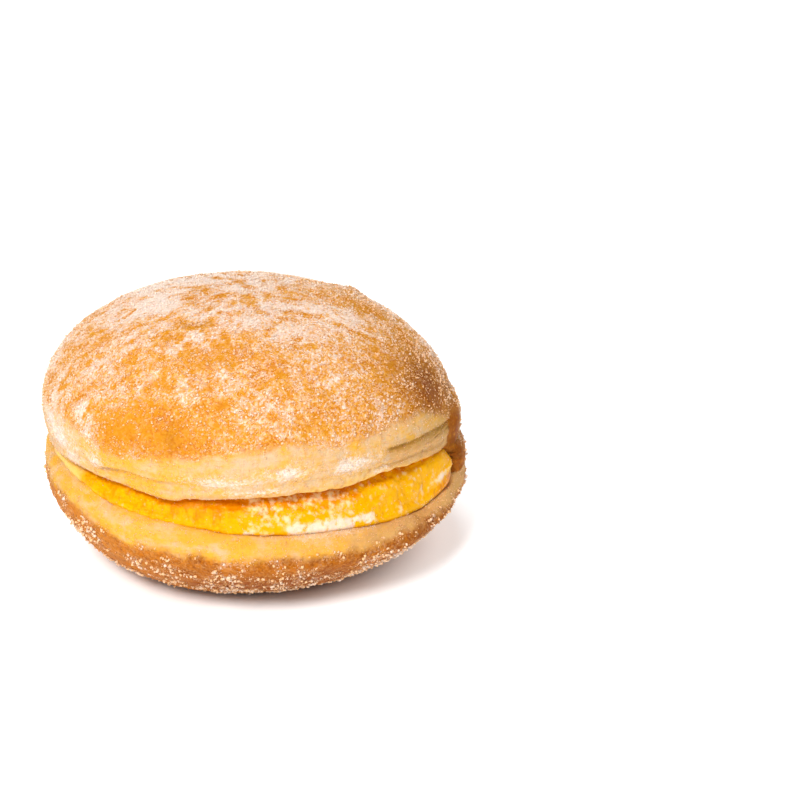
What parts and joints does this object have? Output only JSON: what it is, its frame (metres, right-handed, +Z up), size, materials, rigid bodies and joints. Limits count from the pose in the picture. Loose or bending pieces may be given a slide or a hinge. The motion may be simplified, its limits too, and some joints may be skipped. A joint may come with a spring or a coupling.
{
  "type": "cream-filled doughnut",
  "caption": "Round fried yeast doughnut, slit open along one side, filled with yellow custard cream and coated in sugar.",
  "frame": {"origin": "on the table under the middle of the bun, at the bottom centre of its box", "axes": "+Z up, from the flat spot it rests on to the top of the bun; -Y towards the front, where the slit shows its cream; +X to the right seen from the front, where the slit ends against whole crust"},
  "size_m": [0.0902, 0.0892, 0.0577],
  "materials": {
    "fried_dough": "matte",
    "custard_cream": "satin"
  },
  "bodies": {
    "root": {"bun": "fried_dough", "cream": "custard_cream"}
  },
  "joints": []
}
